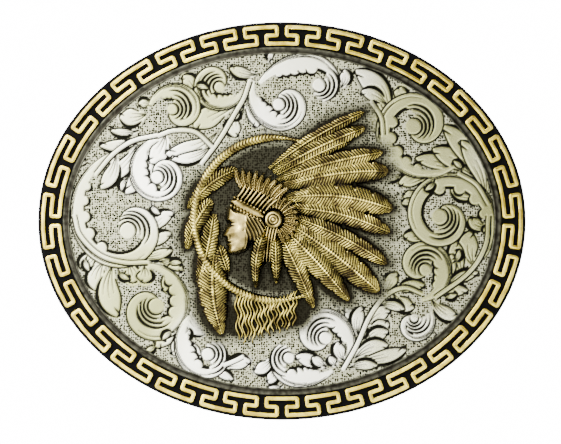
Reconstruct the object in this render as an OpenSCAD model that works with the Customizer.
// Oval dress belt buckle: a bent back plate that carries a blackened rim with a meander
// fret, an engraved face plate in a bezel and a cast relief figure, with a swinging belt
// loop and a fixed prong behind. Millimetres. The face looks along -Y, Z is up, and the
// origin is the centre of the back plate's rear face, where the buckle lies on the belt.

/* [Oval] */
// Overall width of the oval
oval_w = 101.6; // [90:0.1:115]
// Overall height of the oval
oval_h = 82.6; // [74:0.1:92]
// Radius of the bend that follows the wearer's waist, at the rear face
bend_r = 260; // [200:5:400]

/* [Layers] */
// Thickness of the back plate
back_t = 1.2; // [1:0.1:2]
// Thickness of the blackened rim band
band_t = 0.8; // [0.6:0.1:1.2]
// Height of the fret above the rim band
fret_t = 0.8; // [0.5:0.1:1.2]
// Thickness of the engraved face plate
face_t = 1.0; // [0.8:0.1:1.2]
// Height of the bezel's lip above the face plate
lip_t = 0.35; // [0.2:0.05:0.6]

/* [Fret] */
// Number of repeats round the oval
fret_count = 26; // [20:2:30]
// Distance of the fret from the oval's edge
fret_inset = 0.6; // [0.4:0.1:1]
// Depth of the fret, from its outer to its inner edge
fret_depth = 4.3; // [3.8:0.1:4.8]
// Width of the fret's bars
bar_w = 0.88; // [0.7:0.02:1]
// Gap between neighbouring keys
key_gap = 1.15; // [0.9:0.05:1.4]
// How far the repeats crowd towards the top and bottom of the oval
crowding = 1.55; // [1:0.05:2]

/* [Bezel and face] */
// Distance of the bezel's outer edge from the oval's edge
bezel_inset = 5.1; // [5:0.1:5.4]
// Distance of the face plate's edge from the oval's edge
face_inset = 6.3; // [6:0.1:7]

/* [Figure] */
// Height of the hoop, the fringe and the lower feathers above the face plate
figure_low = 1.0; // [0.6:0.1:1.4]
// Height of the long plumes above the face plate
figure_mid = 1.7; // [1.2:0.1:2]
// Height of the head and the headband above the face plate
figure_high = 2.5; // [2:0.1:3]
// Radius of the cast pins that hold the figure
pin_r = 0.9; // [0.7:0.1:1.1]

/* [Belt loop] */
// Clear width for the strap
strap_w = 40; // [34:1:42]
// Radius of the loop's wire
wire_r = 1.6; // [1.4:0.1:1.8]
// Distance from the hinge to the loop's far bar
loop_reach = 17; // [14:0.5:19]
// Radius of the wire's bends, at its centre
wire_bend = 4; // [3:0.5:5]
// Lean of the loop away from the plate as worn, in degrees
loop_lean = 12; // [10:1:15]
// Place of the hinge, measured from the centre
hinge_x = 22; // [18:0.5:26]
// Length of the hinge barrel
barrel_l = 34; // [28:1:34]
// Radius of the hinge barrel
barrel_r = 2.6; // [2.5:0.1:3]

/* [Prong] */
// Place of the prong's foot, measured from the centre
prong_x = -28; // [-32:0.5:-24]
// Radius of the prong
prong_r = 1.9; // [1.6:0.1:2.2]
// Lean of the prong towards the loop, in degrees
prong_lean = 20; // [10:1:25]
// Length of the prong above its foot, up to its round tip
prong_l = 8; // [7:0.5:11]

/* [Hidden] */
$fn = 64;
outline_points = 120;
far = 20;                               // reach of the prisms that the bent layers cut
face_h = back_t + face_t;               // height of the face plate's surface
band_h = back_t + band_t;
lip_h = face_h + lip_t;
shelf_h = band_h + 0.1;                 // the bezel's outer step, and where its lip begins
lip_inset = face_inset - 0.45;
wire_gap = 0.07;                        // running clearance of the wire in its barrel
barrel_h = barrel_r + 0.6;              // height of the barrel's axis above the plate
barrel_foot_t = 1.0;
barrel_foot_w = 11;
prong_foot_t = 2.2;
prong_foot_r = 5;
tenon_r = 1.3;
collar_r = 2.6;                         // the prong's shoulder on its foot
collar_h = 1.2;
pin_play = 0.03;
pin_places = [[-15.2, 7.3], [12.6, 4.8], [-2, -17.6]];
split = 0.3;                            // gap between the wire's two ends, inside the barrel

// The oval. A point is given by an angle from the top, clockwise, and its inset from the edge.
function oval_normal(t) =
    let (n = [sin(t) / oval_w, cos(t) / oval_h]) n / norm(n);
function oval_point(t, inset) =
    [oval_w / 2 * sin(t), oval_h / 2 * cos(t)] - inset * oval_normal(t);
module oval(inset) {
    polygon([for (i = [0:outline_points - 1]) oval_point(360 * i / outline_points, inset)]);
}

// Angle from the top of the point that lies u repeats round the fret.
function fret_angle(u) =
    let (a = 360 * u / fret_count) atan2(pow(oval_h / oval_w, crowding) * sin(a), cos(a));
function fret_point(u, d) = oval_point(fret_angle(u), fret_inset + d);
// Length of one repeat near u, in millimetres.
function repeat_length(u) =
    norm(fret_point(u + 0.05, fret_depth / 2) - fret_point(u - 0.05, fret_depth / 2)) / 0.1;

// The fret's centre line: an outer long bar, an inner long bar half a repeat on, and a short
// bar at mid depth between each two. Each corner has the repeat it is measured from, its side
// of that key gap, its depth, and the way its outer edge is offset.
fret_top = bar_w / 2;
fret_mid = fret_depth / 2;
fret_low = fret_depth - bar_w / 2;
fret_corners = [
    [0, 1, fret_top, -1, -1], [1, -1, fret_top, 1, -1], [1, -1, fret_mid, 1, 1],
    [0.5, 1, fret_mid, 1, 1], [0.5, 1, fret_low, 1, -1], [1.5, -1, fret_low, -1, -1],
    [1.5, -1, fret_mid, -1, 1], [1, 1, fret_mid, -1, 1]];
fret_steps = [3, 1, 1, 1, 3, 1, 1, 1];
function fret_corner(i, k, edge) =
    let (c = fret_corners[k % 8], u = i + floor(k / 8) + c[0])
    [u + (c[1] * (key_gap + bar_w) + edge * c[3] * bar_w) / 2 / repeat_length(u),
     c[2] + edge * c[4] * bar_w / 2];
function fret_edge(edge) = [
    for (i = [0:fret_count - 1])
        for (k = [0:7])
            for (j = [0:fret_steps[k] - 1])
                let (p = fret_corner(i, k, edge), q = fret_corner(i, k + 1, edge),
                     m = p + (q - p) * j / fret_steps[k])
                fret_point(m[0], m[1])];
module fret() {
    outer = fret_edge(1);
    inner = fret_edge(-1);
    n = len(outer);
    polygon(concat(outer, inner), [[for (i = [0:n - 1]) i], [for (i = [0:n - 1]) n + i]]);
}

// The bent layers. Heights are measured from the rear face, towards the front.
module prism() {
    translate([0, far, 0]) rotate([90, 0, 0]) linear_extrude(2 * far) children();
}
module bend_cylinder(h) {
    translate([0, bend_r, -oval_h]) cylinder(r = bend_r + h, h = 2 * oval_h, $fn = 360);
}
module layer(low, high) {
    intersection() {
        prism() children();
        difference() {
            bend_cylinder(high);
            bend_cylinder(low);
        }
    }
}
// Places children on the rear face at x, with their Y pointing away from the plate.
module at_back(x) {
    translate([0, bend_r, 0]) rotate(asin(x / bend_r)) translate([0, -bend_r, 0]) children();
}
module pin_holes() {
    for (p = pin_places) translate(p) circle(pin_r + pin_play);
}

module back_plate() {
    color("darkkhaki") layer(0, back_t) difference() {
        oval(0);
        pin_holes();
    }
}
module rim_band() {
    color("#262428") layer(back_t, band_h) difference() {
        oval(0);
        oval(bezel_inset);
    }
}
module key_fret() {
    color("#e3cf8a") layer(band_h, band_h + fret_t) fret();
}
module bezel_ring() {
    color("#5a5850") for (step = [[bezel_inset, shelf_h], [lip_inset, lip_h]])
        layer(back_t, step[1]) difference() {
            oval(step[0]);
            oval(face_inset);
        }
}
module face_plate() {
    color("#d6d6c0") layer(back_t, face_h) difference() {
        oval(face_inset);
        pin_holes();
    }
}

// A feather's outline from root to tip, widest past the middle, bowed sideways.
function feather_width(s) = pow(sin(180 * pow(s, 0.75)), 0.7);
function feather_side(root, tip, width, bow, side, s) =
    let (along = tip - root, across = [-along[1], along[0]] / norm(along))
    root + s * along + across * (bow * sin(180 * s) + side * width / 2 * feather_width(s));
module feather(root, tip, width, bow) {
    steps = 7;
    polygon(concat([for (i = [0:steps]) feather_side(root, tip, width, bow, 1, i / steps)],
                   [for (i = [steps - 1:-1:1]) feather_side(root, tip, width, bow, -1, i / steps)]));
}

// Each feather: root, tip, width and bow.
plumes = [
    [[-2.6, 10.5], [17, 22.3], 2.8, 0.6], [[-1.6, 9.5], [17.3, 19.2], 3.4, 0.5],
    [[-1, 8], [20.6, 14.4], 3.4, 0.6], [[0, 6], [22, 10.6], 4.6, 1],
    [[0, 4.2], [22.8, 2.8], 4.8, 1.4], [[0, 2.6], [22.4, -2.2], 3.6, 1.2],
    [[0.6, 1.2], [21.8, -8.6], 3.4, 0.8], [[0.4, 0], [20, -14.4], 5, 0.6],
    [[0, -1.4], [13.9, -16.2], 5, 0.4], [[-0.8, -1.6], [6.6, -17.8], 3.8, 0.3],
    [[-1.6, -1.4], [-1, -12.6], 3, 0], [[-3, -1], [-5.4, -13.6], 2.6, -0.4]];
hoop_feathers = [
    [[-9.6, 10.6], [-19.6, 2.4], 3.2, -1], [[-14.4, 5], [-19.8, -5.6], 3.4, -0.8],
    [[-14, 1.6], [-17.4, -13], 3.4, 0.4], [[-13.8, -6.4], [-12.6, -23.4], 5.4, -1],
    [[-13, -4.8], [-11.2, -10.8], 2.4, 0]];
hoop_centre = [-1.3, 0.4];
hoop_r = 16.9;
hoop_w = 1.7;
rosette = [-1.8, 0.3];

module hoop_arc(from, to) {
    steps = 12;
    function ring(r, i) =
        let (a = from + (to - from) * i / steps) hoop_centre + r * [cos(a), sin(a)];
    polygon(concat([for (i = [0:steps]) ring(hoop_r + hoop_w / 2, i)],
                   [for (i = [steps:-1:0]) ring(hoop_r - hoop_w / 2, i)]));
}
module fringe() {
    polygon([[-10.4, -13.2], [-4, -15.6], [3.6, -15.4], [3, -20.2], [-2, -22.4],
             [-6.6, -22.6], [-8.2, -24.8], [-9.9, -23.6]]);
}
module head() {
    polygon([[-11.3, 3.4], [-11.2, 1], [-12.2, -2.4], [-11.3, -3.2], [-11.5, -5],
             [-10.9, -7.2], [-9.6, -8.1], [-7.2, -7.4], [-6.4, -10.6], [-2.6, -9.6],
             [-0.6, -1], [-2.4, 3], [-6, 6.2], [-9.2, 5.6]]);
}
module headdress_base() {
    polygon([[-8.6, 5.4], [-7.4, 10.6], [-3.2, 12], [2.6, 9.4], [4.2, 4], [3.4, 0.2],
             [0, -1.6], [-3.4, -0.4], [-4.4, 2.6]]);
}
module figure_layer(high) {
    layer(face_h, face_h + high) offset(delta = 0.001) children();
}
module figure_casting() {
    color("#c9ac62") difference() {
        union() {
            figure_layer(figure_low) {
                hoop_arc(68, 292);
                for (f = hoop_feathers) feather(f[0], f[1], f[2], f[3]);
                fringe();
            }
            figure_layer(figure_mid) {
                for (f = plumes) feather(f[0], f[1], f[2], f[3]);
                headdress_base();
            }
            figure_layer(figure_high) {
                head();
                translate(rosette) circle(1.6, $fn = 24);
            }
        }
        layer(face_h - 1, face_h + figure_low / 2) pin_holes();
    }
}

// Each pin is cast into the figure's back, runs through both plates and is peened behind.
function rear_y(x) = bend_r - sqrt(pow(bend_r, 2) - pow(x, 2));
module figure_pins() {
    peen_h = 0.6;
    peen_r = 1.8;
    color("#c9ac62") for (p = pin_places) {
        translate([p[0], rear_y(p[0]) + peen_h / 2, p[1]]) rotate([90, 0, 0])
            cylinder(r = pin_r, h = peen_h / 2 + face_h + figure_low / 4);
        at_back(p[0]) translate([0, peen_h, p[1]]) rotate([90, 0, 0])
            cylinder(r1 = pin_r, r2 = peen_r, h = peen_h - 0.02);
    }
}

module hinge_barrel() {
    foot = [barrel_foot_w, barrel_foot_t + 1, barrel_l];
    color("#b79a58") at_back(hinge_x) difference() {
        union() {
            intersection() {
                translate([-foot[0] / 2, -1, -foot[2] / 2]) cube(foot);
                bend_cylinder(0);
            }
            translate([0, barrel_h, -barrel_l / 2]) cylinder(r = barrel_r, h = barrel_l);
        }
        translate([0, barrel_h, -barrel_l]) cylinder(r = wire_r + wire_gap, h = 2 * barrel_l);
    }
}

// The loop: a rectangle of round wire, drawn from its hinge axis along +X, with its ends
// butted inside the barrel.
module wire(from, length, turn) {
    translate(from) rotate(turn) cylinder(r = wire_r, h = length);
}
module wire_corner(centre, start) {
    translate(centre) rotate([90, 0, 0]) rotate(start)
        rotate_extrude(angle = 90) translate([wire_bend, 0]) circle(wire_r);
}
module belt_loop() {
    half = strap_w / 2 + wire_r;
    run = half - wire_bend;
    color("#c4c2b8") at_back(hinge_x) translate([0, barrel_h, 0]) rotate(loop_lean) {
        for (side = [0, 1]) mirror([0, 0, side]) {
            wire([0, 0, split / 2], run - split / 2, [0, 0, 0]);
            wire([wire_bend, 0, half], loop_reach - 2 * wire_bend, [0, 90, 0]);
            wire_corner([wire_bend, 0, run], 90);
            wire_corner([loop_reach - wire_bend, 0, run], 0);
        }
        wire([loop_reach, 0, -run], 2 * run, [0, 0, 0]);
    }
}

// Along local Y from a height behind the plate, with a lean towards the loop.
module rearward(height, lean) {
    translate([0, height, 0]) rotate(-lean) rotate([-90, 0, 0]) children();
}
module prong_foot() {
    color("#b79a58") at_back(prong_x) difference() {
        intersection() {
            rearward(-1, 0) cylinder(r = prong_foot_r, h = prong_foot_t + 1);
            bend_cylinder(0);
        }
        rearward(-1, 0) cylinder(r = tenon_r, h = far);
    }
}
module belt_prong() {
    below = 2 * prong_foot_r;
    color("#c4c2b8") at_back(prong_x) {
        difference() {
            rearward(prong_foot_t, prong_lean) {
                translate([0, 0, -prong_r]) cylinder(r = prong_r, h = prong_l + prong_r);
                translate([0, 0, -collar_r]) cylinder(r = collar_r, h = collar_r + collar_h);
                translate([0, 0, prong_l]) sphere(prong_r);
            }
            translate([-below / 2, prong_foot_t - below, -below / 2]) cube(below);
        }
        rearward(0.1, 0) cylinder(r = tenon_r, h = prong_foot_t + 0.1);
    }
}

back_plate();
rim_band();
key_fret();
bezel_ring();
face_plate();
figure_casting();
figure_pins();
hinge_barrel();
belt_loop();
prong_foot();
belt_prong();
